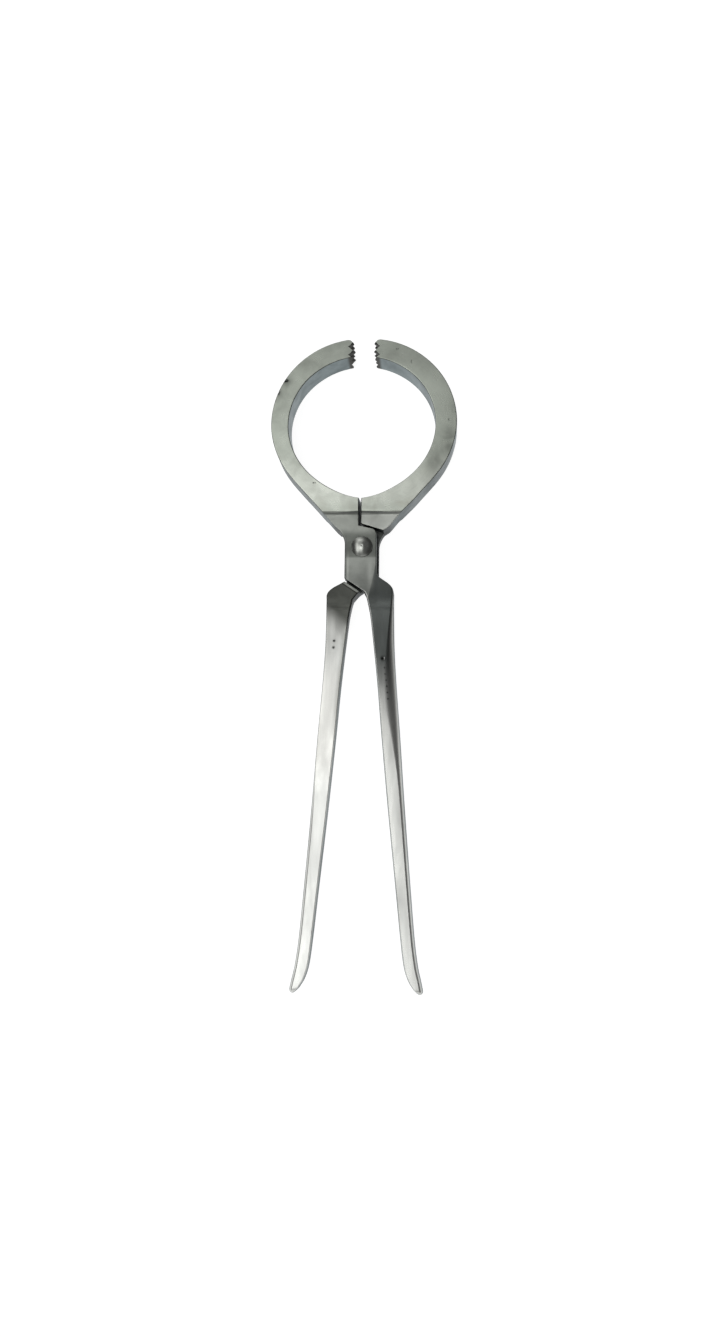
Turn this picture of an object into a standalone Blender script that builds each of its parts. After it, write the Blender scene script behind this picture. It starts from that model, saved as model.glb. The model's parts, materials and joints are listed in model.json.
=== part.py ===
"""Ring-jawed pincer tongs: two forged halves that cross in a lap joint and turn on one rivet.

The drawing below is in millimetres and the meshes are made in metres, +Z up.  The tool lies flat:
X runs across it, Y along it with the jaws at +Y, and Z through its thickness.  Plan coordinates
are measured from the rivet's axis.  Each half is drawn in its own frame, with its jaw on the left
and its handle on the right, as a row of cross-sections swept from the jaw tip to the handle end.
The rear half is the same drawing turned over about the Y axis.
"""

import math

import bmesh
import bpy
from mathutils import Matrix

MM = 0.001

# Driving dimensions, in millimetres.
OVERALL_LENGTH = 380.0
JAW_END_Y = 127.7                 # top of the jaw tips, from the rivet
RING_THICKNESS = 16.0             # depth of the jaws, and of the whole forging
JOINT_STEP = 1.2                  # how far each joint face is sunk below the ring's face
LAP_GAP = 0.3                     # between the two lapped halves
RIVET_X = -0.2                    # the rivet in the part's frame
RIVET_Y = OVERALL_LENGTH / 2.0 - JAW_END_Y

# The ring: radii by angle, from the left horizontal, positive towards the jaw tip.
RING_CENTRE_Y = 74.0
# The outer edge ends in the heel beside the joint, which the front half (1) and the rear half (-1)
# don't share.
RING_OUTER = ((80, 54.7), (60, 55.3), (30, 55.6), (0, 55.1), (-20, 54.0), (-40, 53.0), (-50, 53.6),
              (-60, 55.8))
HEEL_OUTER = {1: ((-70, 60.2), (-77, 64.8)), -1: ((-65, 57.4), (-70, 59.6), (-78, 65.4))}
RING_INNER = ((86, 43.0), (60, 43.1), (30, 43.6), (0, 43.6), (-30, 42.8), (-50, 42.4), (-65, 42.7),
              (-80, 43.9), (-92, 45.0))
RING_EDGE_ROUND = 0.6
BASE_ANGLES = (-61.0, -65.0)          # stretch of the outer edge beside the end of the bore
HEEL_ANGLES = (-66.2, -67.4)          # beside the seam, above the step
HEEL_END_ANGLES = (-68.8, -76.0)      # beside the seam, below the step

# The halves were forged and ground by hand, so they aren't quite alike: the tool's middle line
# wanders a little off the rivet's axis, and one shoulder stands higher than the other.
OUTER_SHIFT = 0.2
BORE_SHIFT = -0.9
SEAM_SHIFT = -1.4
HANDLE_SHIFT = -1.0
SHOULDER_SHIFT = 1.25
WAIST_SHIFT = -0.35

# Jaw tips.
TIP_X = -5.45                     # the tip's end face
TIP_CORNER_RADIUS = 4.3
TIP_CORNER_Y = 123.5
TOOTH_ROWS = 3
TOOTH_VALLEYS_Y = (128.6, 123.4, 118.2, 113.0)
TOOTH_VALLEY_DEPTH = 4.3             # behind the tip's end face
TOOTH_SADDLE_DEPTH = 2.1             # between two peaks of one row
TOOTH_PEAK_DEPTH = 0.15

# Lap joint and boss.
SEAM_GAP = 1.4                    # between the two ring bases
STEP_Y = 20.9                     # where the ring's face drops to the joint face, at the seam
STEP_RUN = 1.0                    # length of the slope from one face to the other
WAIST_X = -9.75                   # the waist's left side
WAIST_ROUND = 14.0
WAIST_ROUND_Y = 1.0
WAIST_FOOT_Y = -18.0
BOSS_RIGHT_X = 8.4
BOSS_CORNER_ROUND = 3.5
BOSS_CORNER_Y = 7.65
SHOULDER_Y = -15.0                # where the waist starts to widen into the handle's shoulder
SHOULDER_ROUND = 6.0
SHOULDER_TURN = 55.0              # degrees
SHOULDER_SLOPE = -0.58
SHOULDER_SLOPE_SHIFT = -0.08
CHEEK_ROUND = 3.2                 # the shoulder's outer corner
BOSS_TOP_AT_AXIS = 12.35
BOSS_TOP_SLOPE = -0.23
JAW_WALL = (-0.306, 0.952, 13.2)      # line a x + b y = c, the jaw's wall behind the lap
BOSS_EDGE = (-0.553, -0.833, 21.3)    # the boss's lower edge
SHOULDER_WALL = (0.553, -0.833, 22.7)  # the handle's wall behind the lap

# Handle edges across the tool, by distance along it, and the loss of thickness on each face.
HANDLE_INNER = ((-31, 4.1), (-34, 4.75), (-40, 5.9), (-50, 7.1), (-80, 10.3), (-110, 12.9),
                (-150, 16.7), (-200, 21.9), (-225, 24.5), (-238, 26.3), (-245, 28.6), (-249.5, 31.4))
HANDLE_OUTER = ((-31, 19.45), (-45, 19.7), (-60, 20.1), (-80, 21.3), (-110, 23.6), (-150, 26.4),
                (-200, 30.3), (-225, 32.5), (-238, 34.3), (-245, 35.9), (-249.5, 36.85))
HANDLE_END_Y = JAW_END_Y - OVERALL_LENGTH
HANDLE_END_X = 35.0
HANDLE_BEND_Y = -237.0            # where the end starts to turn outwards
END_INNER_CORNER = (-1.6, 0.6)    # corners that the rounded end is drawn inside, from its lowest point
END_OUTER_CORNER = (2.3, 0.3)
END_HALF_FLAT = 0.3
END_THINNEST = 0.3                # thickness left at the very end, as a share of the handle's
FACE_DROP = ((-14, 0.0), (-20, 0.4), (-25, 0.95), (-32, 1.55), (-40, 1.95), (-48, 2.1), (-110, 2.1),
             (-200, 2.5), (-250, 3.0))
BOSS_FACE_DROP = ((-22, 0.0), (-28, 0.3), (-34, 1.1), (-42, 1.9), (-48, 2.1), (-110, 2.1),
                  (-200, 2.5), (-250, 3.0))
EDGE_ROUND = ((12, 0.6), (-14, 0.6), (-25, 1.0), (-45, 2.0), (-150, 2.4), (-250, 2.2))

# Rivet.
SHANK_RADIUS = 4.0
HOLE_CLEARANCE = 0.1
HEAD_RADIUS = 6.15
HEAD_HEIGHT = 2.5
HEAD_RIM = 0.4
HEAD_GAP = 0.15                   # between a head and the face under it
REAR_HEAD_RADIUS = 5.8
REAR_HEAD_HEIGHT = 0.8
REAR_HEAD_CHAMFER = 0.35
DIMPLE_RADIUS = 0.5
DIMPLE_DEPTH = 0.2
ROUND_STEPS = 48

# Drawing helpers.
CUTTER_MARGIN = 1.0               # how far a cutter runs past the steel
TOOTH_CUTTER_REACH = 5.0
MIDDLE_Z = RING_THICKNESS / 2.0
JOINT_TOP = RING_THICKNESS - JOINT_STEP
CORNER_STEPS = 2                  # facets of a rounded edge
DOME_STEPS = 6
SHARP_DEGREES = 35.0


def smooth(keys, at):
    """Value at one place of a smooth curve through (place, value) keys."""
    keys = sorted(keys)
    if at <= keys[0][0]:
        return keys[0][1]
    if at >= keys[-1][0]:
        return keys[-1][1]
    slopes = []
    for i in range(len(keys)):
        low = keys[max(i - 1, 0)]
        high = keys[min(i + 1, len(keys) - 1)]
        slopes.append((high[1] - low[1]) / (high[0] - low[0]))
    i = next(k for k in range(len(keys) - 1) if at <= keys[k + 1][0])
    span = keys[i + 1][0] - keys[i][0]
    t = (at - keys[i][0]) / span
    return (keys[i][1] * (1 + 2 * t) * (1 - t) ** 2
            + keys[i + 1][1] * t * t * (3 - 2 * t)
            + slopes[i] * span * t * (1 - t) ** 2
            - slopes[i + 1] * span * t * t * (1 - t))


def line(start, end):
    """A straight edge, as a function of 0..1."""
    return lambda t: (start[0] + (end[0] - start[0]) * t, start[1] + (end[1] - start[1]) * t)


def bend(start, corner, end):
    """An edge rounded inside a corner."""
    def point(t):
        weights = ((1 - t) ** 2, 2 * t * (1 - t), t * t)
        return tuple(sum(w * p[axis] for w, p in zip(weights, (start, corner, end))) for axis in (0, 1))
    return point


def arc(centre, radius, start_degrees, end_degrees):
    """A round edge."""
    def point(t):
        angle = math.radians(start_degrees + (end_degrees - start_degrees) * t)
        return (centre[0] + radius * math.cos(angle), centre[1] + radius * math.sin(angle))
    return point


def ring_edge(keys, centre_x, start_degrees, end_degrees):
    """A stretch of the ring's outer or inner edge."""
    def point(t):
        degrees = start_degrees + (end_degrees - start_degrees) * t
        radius = smooth(keys, degrees)
        angle = math.radians(degrees)
        return (centre_x - radius * math.cos(angle), RING_CENTRE_Y + radius * math.sin(angle))
    return point


def handle_edge(keys, shift, start_y, end_y):
    """A stretch of one side of the handle."""
    def point(t):
        y = start_y + (end_y - start_y) * t
        return (smooth(keys, y) + shift, y)
    return point


def on_line(edge, x):
    """The point at x on the line a x + b y = c."""
    return (x, (edge[2] - edge[0] * x) / edge[1])


def section(left, right, top_left, top_right, bottom, rounding):
    """One cross-section, standing on the plan line from left to right, with rounded corners."""
    width = math.dist(left, right)
    across = ((right[0] - left[0]) / width, (right[1] - left[1]) / width)
    rounding = min(rounding, width * 0.48, (min(top_left, top_right) - bottom) * 0.48)
    corners = (
        (rounding, bottom + rounding, 270, 180),
        (rounding, top_left - rounding, 180, 90),
        (width - rounding, top_right - rounding, 90, 0),
        (width - rounding, bottom + rounding, 0, -90),
    )
    points = []
    for centre, height, start, end in corners:
        for step in range(CORNER_STEPS + 1):
            angle = math.radians(start + (end - start) * step / CORNER_STEPS)
            along = centre + rounding * math.cos(angle)
            z = height + rounding * math.sin(angle)
            points.append((left[0] + across[0] * along, left[1] + across[1] * along, z))
    return points


def ring_spans(hand):
    """Edge pairs of the jaw, from its tip to the step above the joint."""
    outer_x = OUTER_SHIFT * hand
    bore_x = BORE_SHIFT * hand
    seam_x = SEAM_SHIFT * hand - SEAM_GAP / 2.0
    outer = RING_OUTER + HEEL_OUTER[hand]
    corner = (TIP_X - TIP_CORNER_RADIUS, TIP_CORNER_Y)
    tip_angle = math.degrees(math.acos((bore_x - TIP_X) / RING_INNER[0][1]))
    seam_angle = -math.degrees(math.acos((bore_x - seam_x) / RING_INNER[-1][1]))
    seam_top = ring_edge(RING_INNER, bore_x, 0, seam_angle)(1)
    return (
        (arc(corner, TIP_CORNER_RADIUS, 0, 100), ring_edge(RING_INNER, bore_x, tip_angle, 78), 6),
        (ring_edge(outer, outer_x, 76, -60), ring_edge(RING_INNER, bore_x, 73, -60), 26),
        (ring_edge(outer, outer_x, *BASE_ANGLES), ring_edge(RING_INNER, bore_x, -64, seam_angle), 5),
        (ring_edge(outer, outer_x, *HEEL_ANGLES),
         line((seam_x, (seam_top[1] + STEP_Y) / 2), (seam_x, STEP_Y + STEP_RUN / 2)), 2),
    )


def joint_spans(hand):
    """Edge pairs of the boss and shoulder, from the step to the top of the handle."""
    outer_x = OUTER_SHIFT * hand
    seam_x = SEAM_SHIFT * hand - SEAM_GAP / 2.0
    waist_x = WAIST_X + WAIST_SHIFT * hand
    handle_x = HANDLE_SHIFT * hand
    seam_foot = (seam_x, BOSS_TOP_AT_AXIS + BOSS_TOP_SLOPE * seam_x)
    outer = RING_OUTER + HEEL_OUTER[hand]
    waist_centre = (waist_x - WAIST_ROUND, WAIST_ROUND_Y)
    boss_centre = (BOSS_RIGHT_X - BOSS_CORNER_ROUND, BOSS_CORNER_Y)
    fillet_centre = (BOSS_RIGHT_X + SHOULDER_ROUND, SHOULDER_Y + SHOULDER_SHIFT * hand)
    fillet_last = 180 + SHOULDER_TURN
    fillet_end = arc(fillet_centre, SHOULDER_ROUND, 180, fillet_last)(1)
    cheek_x = HANDLE_OUTER[0][1] + handle_x
    slope = SHOULDER_SLOPE + SHOULDER_SLOPE_SHIFT * hand
    cheek = (cheek_x, fillet_end[1] + slope * (cheek_x - fillet_end[0]))
    cheek_foot = (cheek_x, cheek[1] - CHEEK_ROUND)
    shoulder = line(fillet_end, cheek)
    handle_top = HANDLE_INNER[0][0]
    handle_start = (HANDLE_INNER[0][1] + handle_x, handle_top)
    return (
        (ring_edge(outer, outer_x, *HEEL_END_ANGLES),
         line((seam_x, STEP_Y - STEP_RUN / 2), seam_foot), 4),
        (arc(waist_centre, WAIST_ROUND, 40, 24),
         line((seam_x + 1.5, seam_foot[1] - 0.35), arc(boss_centre, BOSS_CORNER_ROUND, 77, 0)(0)), 4),
        (arc(waist_centre, WAIST_ROUND, 18, 0), arc(boss_centre, BOSS_CORNER_ROUND, 60, 0), 4),
        (line((waist_x, -2.0), (waist_x, fillet_centre[1] + 1.0)),
         line((BOSS_RIGHT_X, 3.0), (BOSS_RIGHT_X, fillet_centre[1])), 5),
        (line((waist_x, fillet_centre[1] - 0.7), (waist_x, WAIST_FOOT_Y)),
         arc(fillet_centre, SHOULDER_ROUND, 194, 220), 3),
        (bend((waist_x, WAIST_FOOT_Y - 0.3), on_line(BOSS_EDGE, waist_x),
              on_line(BOSS_EDGE, waist_x + 1.2)),
         line(arc(fillet_centre, SHOULDER_ROUND, fillet_last - 7, fillet_last)(0), shoulder(0.25)), 3),
        (line(on_line(BOSS_EDGE, waist_x + 2.5), on_line(BOSS_EDGE, 0.5)),
         bend(shoulder(0.4), cheek, cheek_foot), 6),
        (bend(on_line(BOSS_EDGE, 1.1), on_line(BOSS_EDGE, 2.3), handle_start),
         line((cheek_x, cheek_foot[1] - 0.5), (cheek_x, handle_top)), 4),
    )


def handle_spans(hand):
    """Edge pairs of the handle, down to its rounded end."""
    shift = HANDLE_SHIFT * hand
    top = HANDLE_INNER[0][0]
    foot = HANDLE_INNER[-1][0]
    inner_foot = (HANDLE_INNER[-1][1] + shift, foot)
    outer_foot = (HANDLE_OUTER[-1][1] + shift, foot)
    end_x = HANDLE_END_X + shift
    inner_corner = (end_x + END_INNER_CORNER[0], HANDLE_END_Y + END_INNER_CORNER[1])
    outer_corner = (end_x + END_OUTER_CORNER[0], HANDLE_END_Y + END_OUTER_CORNER[1])
    straight = (top - 2, HANDLE_BEND_Y + 2)
    bent = (HANDLE_BEND_Y - 2, foot + 2)
    return (
        (handle_edge(HANDLE_INNER, shift, *straight), handle_edge(HANDLE_OUTER, shift, *straight), 18),
        (handle_edge(HANDLE_INNER, shift, *bent), handle_edge(HANDLE_OUTER, shift, *bent), 4),
        (bend(inner_foot, inner_corner, (end_x - END_HALF_FLAT, HANDLE_END_Y)),
         bend(outer_foot, outer_corner, (end_x + END_HALF_FLAT, HANDLE_END_Y)), 5),
    )


def span_points(spans):
    """Every pair of edge points of a run of spans."""
    for left, right, steps in spans:
        for step in range(steps):
            t = step / (steps - 1)
            yield left(t), right(t)


def half_sections(hand):
    """All cross-sections of one half, from its jaw tip to its handle end."""
    sections = []
    for left, right in span_points(ring_spans(hand)):
        sections.append(section(left, right, RING_THICKNESS, RING_THICKNESS, 0.0, RING_EDGE_ROUND))
    for left, right in span_points(joint_spans(hand)):
        sections.append(section(left, right,
                                JOINT_TOP - smooth(BOSS_FACE_DROP, left[1]),
                                JOINT_TOP - smooth(FACE_DROP, right[1]),
                                JOINT_STEP + smooth(FACE_DROP, (left[1] + right[1]) / 2),
                                smooth(EDGE_ROUND, right[1])))
    foot_y = HANDLE_INNER[-1][0]
    for left, right in span_points(handle_spans(hand)):
        y = (left[1] + right[1]) / 2
        half_depth = MIDDLE_Z - JOINT_STEP - smooth(FACE_DROP, y)
        if y < foot_y:
            past = (foot_y - y) / (foot_y - HANDLE_END_Y)
            half_depth *= END_THINNEST + (1 - END_THINNEST) * math.sqrt(max(0.0, 1 - past * past))
        sections.append(section(left, right, MIDDLE_Z + half_depth, MIDDLE_Z + half_depth,
                                MIDDLE_Z - half_depth, smooth(EDGE_ROUND, y)))
    return sections


def make_object(name, mesh_builder):
    """An object at the rivet's axis whose closed mesh is drawn in millimetres."""
    builder = bmesh.new()
    mesh_builder(builder)
    bmesh.ops.scale(builder, vec=(MM, MM, MM), verts=builder.verts)
    bmesh.ops.recalc_face_normals(builder, faces=builder.faces)
    mesh = bpy.data.meshes.new(name)
    builder.to_mesh(mesh)
    builder.free()
    item = bpy.data.objects.new(name, mesh)
    item.location = (RIVET_X * MM, RIVET_Y * MM, 0.0)
    bpy.context.scene.collection.objects.link(item)
    return item


def sweep(builder, sections):
    """Join cross-sections into one closed skin."""
    rings = [[builder.verts.new(point) for point in points] for points in sections]
    count = len(rings[0])
    for first, second in zip(rings, rings[1:]):
        for i in range(count):
            j = (i + 1) % count
            builder.faces.new((first[i], first[j], second[j], second[i]))
    builder.faces.new(rings[0])
    builder.faces.new(rings[-1])


def prism(builder, outline, low, high):
    """A plan outline extruded from one height to another."""
    lower = [builder.verts.new((x, y, low)) for x, y in outline]
    upper = [builder.verts.new((x, y, high)) for x, y in outline]
    builder.faces.new(lower)
    builder.faces.new(upper)
    for i in range(len(outline)):
        j = (i + 1) % len(outline)
        builder.faces.new((lower[i], lower[j], upper[j], upper[i]))


def turned(builder, profile):
    """A (radius, height) profile turned about the rivet's axis; its ends lie on the axis."""
    poles = (builder.verts.new((0, 0, profile[0][1])), builder.verts.new((0, 0, profile[-1][1])))
    rings = []
    for radius, z in profile[1:-1]:
        ring = []
        for step in range(ROUND_STEPS):
            angle = math.tau * step / ROUND_STEPS
            ring.append(builder.verts.new((radius * math.cos(angle), radius * math.sin(angle), z)))
        rings.append(ring)
    for step in range(ROUND_STEPS):
        following = (step + 1) % ROUND_STEPS
        for first, second in zip(rings, rings[1:]):
            builder.faces.new((first[step], first[following], second[following], second[step]))
        builder.faces.new((poles[0], rings[0][step], rings[0][following]))
        builder.faces.new((poles[1], rings[-1][step], rings[-1][following]))


def lap_cutter(builder):
    """The room behind the boss, for the other half's boss."""
    far = 30.0
    outline = (on_line(JAW_WALL, -far), on_line(JAW_WALL, 10), (far, 17), on_line(SHOULDER_WALL, far),
               on_line(SHOULDER_WALL, -8), (-far, -33))
    prism(builder, outline, -CUTTER_MARGIN, MIDDLE_Z + LAP_GAP / 2.0)


def hole_cutter(builder):
    """The rivet's hole."""
    radius = SHANK_RADIUS + HOLE_CLEARANCE
    low = -CUTTER_MARGIN
    high = RING_THICKNESS + CUTTER_MARGIN
    turned(builder, ((0, low), (radius, low), (radius, high), (0, high)))


def tooth_cutter(builder):
    """A block whose face is the mould of the jaw's pyramid teeth."""
    rows = []
    peaks = set()
    places_y = []
    for upper, lower in zip(TOOTH_VALLEYS_Y, TOOTH_VALLEYS_Y[1:]):
        places_y += [upper, (upper + lower) / 2]
    places_y.append(TOOTH_VALLEYS_Y[-1])
    last = 2 * TOOTH_ROWS
    for k, y in enumerate(places_y):
        row = []
        for m in range(last + 1):
            z = RING_THICKNESS * m / last
            if m == 0:
                z -= CUTTER_MARGIN
            if m == last:
                z += CUTTER_MARGIN
            depth = TOOTH_VALLEY_DEPTH
            if k % 2 == 1:
                depth = TOOTH_PEAK_DEPTH if m % 2 == 1 else TOOTH_SADDLE_DEPTH
            corner = builder.verts.new((TIP_X - depth, y, z))
            row.append(corner)
            if depth == TOOTH_PEAK_DEPTH:
                peaks.add(corner)
        rows.append(row)
    for upper, lower in zip(rows, rows[1:]):
        for m in range(last):
            quad = (upper[m], upper[m + 1], lower[m + 1], lower[m])
            peak = next(i for i, corner in enumerate(quad) if corner in peaks)
            builder.faces.new((quad[peak], quad[(peak + 1) % 4], quad[(peak + 2) % 4]))
            builder.faces.new((quad[peak], quad[(peak + 2) % 4], quad[(peak + 3) % 4]))
    front = TIP_X + TOOTH_CUTTER_REACH
    rim = (rows[0] + [row[-1] for row in rows[1:]] + rows[-1][-2::-1]
           + [row[0] for row in rows[-2:0:-1]])
    back = [builder.verts.new((front, v.co.y, v.co.z)) for v in rim]
    for i in range(len(rim)):
        j = (i + 1) % len(rim)
        builder.faces.new((rim[i], rim[j], back[j], back[i]))
    builder.faces.new(back)


def rivet_profile():
    """The rivet from its flattened rear head to the top of its dome."""
    rear_face = JOINT_STEP - HEAD_GAP
    rear_end = rear_face - REAR_HEAD_HEIGHT
    front_face = JOINT_TOP + HEAD_GAP
    rim_top = front_face + HEAD_RIM
    rise = HEAD_HEIGHT - HEAD_RIM
    ball = (HEAD_RADIUS ** 2 + rise ** 2) / (2 * rise)
    profile = [(0, rear_end), (REAR_HEAD_RADIUS - REAR_HEAD_CHAMFER, rear_end),
               (REAR_HEAD_RADIUS, rear_end + REAR_HEAD_CHAMFER), (REAR_HEAD_RADIUS, rear_face),
               (SHANK_RADIUS, rear_face), (SHANK_RADIUS, front_face), (HEAD_RADIUS, front_face)]
    for step in range(DOME_STEPS + 1):
        radius = HEAD_RADIUS + (DIMPLE_RADIUS - HEAD_RADIUS) * step / DOME_STEPS
        profile.append((radius, rim_top + rise - ball + math.sqrt(ball ** 2 - radius ** 2)))
    profile.append((0, front_face + HEAD_HEIGHT - DIMPLE_DEPTH))
    return profile


def turn_over(item):
    """Turn a half over about the Y axis, through the middle of its thickness."""
    middle = Matrix.Translation((0.0, 0.0, MIDDLE_Z * MM))
    item.data.transform(middle @ Matrix.Rotation(math.pi, 4, "Y") @ middle.inverted())


def cut(item, cutter):
    """Take a hidden cutter out of an object."""
    cutter.hide_render = True
    cutter.display_type = "WIRE"
    modifier = item.modifiers.new("cut " + cutter.name, "BOOLEAN")
    modifier.operation = "DIFFERENCE"
    modifier.solver = "EXACT"
    modifier.object = cutter


def finish(item, colour, roughness):
    """Give an object its steel and smooth shading."""
    material = bpy.data.materials.new(item.name + " steel")
    material.use_nodes = True
    shader = material.node_tree.nodes["Principled BSDF"]
    shader.inputs["Base Color"].default_value = (*colour, 1.0)
    shader.inputs["Metallic"].default_value = 1.0
    shader.inputs["Roughness"].default_value = roughness
    item.data.materials.append(material)
    item.data.shade_smooth()
    item.data.set_sharp_from_angle(angle=math.radians(SHARP_DEGREES))


def make_half(name, hand):
    """One half: hand is 1 for the front one, -1 for the rear one, which is turned over."""
    half = make_object(name, lambda builder: sweep(builder, half_sections(hand)))
    for cutter_name, draw in (("lap", lap_cutter), ("hole", hole_cutter), ("teeth", tooth_cutter)):
        cutter = make_object(name + "_" + cutter_name + "_cutter", draw)
        if hand < 0:
            turn_over(cutter)
        cut(half, cutter)
    if hand < 0:
        turn_over(half)
    return half


def build():
    """Clear the scene and make the three pieces."""
    for item in list(bpy.data.objects):
        bpy.data.objects.remove(item, do_unlink=True)
    front_half = make_half("front_half", 1)
    rear_half = make_half("rear_half", -1)
    rivet = make_object("pivot_rivet", lambda builder: turned(builder, rivet_profile()))
    finish(front_half, (0.62, 0.63, 0.60), 0.28)
    finish(rear_half, (0.60, 0.61, 0.59), 0.28)
    finish(rivet, (0.55, 0.56, 0.53), 0.22)


build()
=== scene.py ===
"""Looks for the ring-jawed pincer tongs: two ground forgings and their rivet, laid on a pale floor.

Drawing sizes are in millimetres from the rivet's axis.  Each half is drawn with its jaw on the left
and its handle on the right; the rear half is the same drawing turned over about the Y axis.
"""

import json
import math

import bmesh
import bpy
from mathutils import Matrix, Vector


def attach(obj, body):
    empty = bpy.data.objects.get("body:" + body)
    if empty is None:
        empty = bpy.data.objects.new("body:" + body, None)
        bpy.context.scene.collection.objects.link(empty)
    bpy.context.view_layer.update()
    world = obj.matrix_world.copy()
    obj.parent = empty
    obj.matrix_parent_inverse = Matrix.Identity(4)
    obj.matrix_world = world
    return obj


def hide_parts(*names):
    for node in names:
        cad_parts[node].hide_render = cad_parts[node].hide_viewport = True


MM = 0.001

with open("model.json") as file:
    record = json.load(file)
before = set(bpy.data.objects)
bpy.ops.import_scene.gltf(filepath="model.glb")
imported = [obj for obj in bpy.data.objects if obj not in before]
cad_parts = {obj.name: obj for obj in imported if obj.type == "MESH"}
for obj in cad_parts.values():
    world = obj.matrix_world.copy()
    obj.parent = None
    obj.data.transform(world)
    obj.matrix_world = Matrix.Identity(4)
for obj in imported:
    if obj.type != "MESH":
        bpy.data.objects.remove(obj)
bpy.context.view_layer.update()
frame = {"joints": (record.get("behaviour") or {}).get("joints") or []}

RIVET = Vector(frame["joints"][0]["pos_m"])
THICKNESS = 16.0
MIDDLE_Z = THICKNESS / 2.0
JOINT_STEP = 1.2                      # how far each joint face is sunk below the ring's face
JOINT_TOP = THICKNESS - JOINT_STEP
LAP_GAP = 0.3                         # between the two lapped halves

# The ring: radii by angle, from the left horizontal, positive towards the jaw tip.
RING_CENTRE_Y = 74.0
RING_OUTER = ((80, 54.7), (60, 55.3), (30, 55.6), (0, 55.1), (-20, 54.0), (-40, 53.0), (-50, 53.6),
              (-60, 55.8))
HEEL_OUTER = {1: ((-70, 60.2), (-77, 64.8)), -1: ((-65, 57.4), (-70, 59.6), (-78, 65.4))}
RING_INNER = ((86, 43.0), (60, 43.1), (30, 43.6), (0, 43.6), (-30, 42.8), (-50, 42.4), (-65, 42.7),
              (-80, 43.9), (-92, 45.0))
RING_EDGE_ROUND = 0.6
BASE_ANGLES = (-61, -65)              # stretch of the outer edge beside the end of the bore
HEEL_ANGLES = (-66.2, -67.4)          # beside the seam, above the step
HEEL_END_ANGLES = (-68.8, -76)        # beside the seam, below the step

# The halves aren't quite alike: the front half (1) is shifted by these, the rear half (-1) against.
OUTER_SHIFT = 0.2
BORE_SHIFT = -0.9
SEAM_SHIFT = -1.4
HANDLE_SHIFT = -1.0
SHOULDER_SHIFT = 1.25
WAIST_SHIFT = -0.35

# Jaw tips.
TIP_X = -5.45
TIP_CORNER_RADIUS = 4.3
TIP_CORNER_Y = 123.5
TOOTH_VALLEYS_Y = (128.6, 123.4, 118.2, 113.0)
TOOTH_STEPS = 6                       # heights through the thickness: valleys and peaks by turns
TOOTH_VALLEY_DEPTH = 4.3              # behind the tip's end face
TOOTH_SADDLE_DEPTH = 2.1              # between two peaks of one row
TOOTH_PEAK_DEPTH = 0.15
TOOTH_CUTTER_REACH = 5.0

# Seam, boss, waist and shoulder.
SEAM_GAP = 1.4
SEAM_LEAN = 1.5                       # how far the seam moves right from front to back
SEAM_LEAN_Y = (34.0, 28.0)
STEP_Y = 20.9                         # where the ring's face drops to the joint face
STEP_RUN = 1.0
WAIST_X = -9.75
WAIST_ROUND = 14.0
WAIST_ROUND_Y = 1.0
WAIST_FOOT_Y = -18.0
BOSS_RIGHT_X = 8.4
BOSS_CORNER_ROUND = 3.5
BOSS_CORNER_Y = 7.65
BOSS_TOP_AT_AXIS = 12.35
BOSS_TOP_SLOPE = -0.23
SHOULDER_Y = -15.0
SHOULDER_ROUND = 6.0
SHOULDER_TURN = 55                    # degrees
SHOULDER_SLOPE = -0.58
SHOULDER_SLOPE_SHIFT = -0.08
CHEEK_ROUND = 3.2
JAW_WALL = (-0.306, 0.952, 13.2)      # line a x + b y = c, the jaw's wall behind the lap
BOSS_EDGE = (-0.553, -0.833, 21.3)    # the boss's lower edge
SHOULDER_WALL = (0.553, -0.833, 22.7)  # the handle's wall behind the lap

# Handle edges across the tool, by distance along it, and the loss of thickness on each face.
HANDLE_INNER = ((-31, 4.1), (-34, 4.75), (-40, 5.9), (-50, 7.1), (-80, 10.3), (-110, 12.9),
                (-150, 16.7), (-200, 21.9), (-225, 24.5), (-238, 26.3), (-245, 28.6), (-249.5, 31.4))
HANDLE_OUTER = ((-31, 19.45), (-45, 19.7), (-60, 20.1), (-80, 21.3), (-110, 23.6), (-150, 26.4),
                (-200, 30.3), (-225, 32.5), (-238, 34.3), (-245, 35.9), (-249.5, 36.85))
HANDLE_BEND_Y = (-235, -237)          # where the straight stretch ends and the bent one starts
HANDLE_END_X = 35.0
HANDLE_END_Y = -252.3
END_INNER_CORNER = (-1.6, 0.6)        # corners that the rounded end is drawn inside
END_OUTER_CORNER = (2.3, 0.3)
END_HALF_FLAT = 0.3
END_THINNEST = 0.3                    # thickness left at the very end, as a share of the handle's
FACE_DROP = ((-14, 0.0), (-20, 0.4), (-25, 0.95), (-32, 1.55), (-40, 1.95), (-48, 2.1), (-110, 2.1),
             (-200, 2.5), (-250, 3.0))
BOSS_FACE_DROP = ((-22, 0.0), (-28, 0.3), (-34, 1.1), (-42, 1.9), (-48, 2.1), (-110, 2.1),
                  (-200, 2.5), (-250, 3.0))

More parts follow.
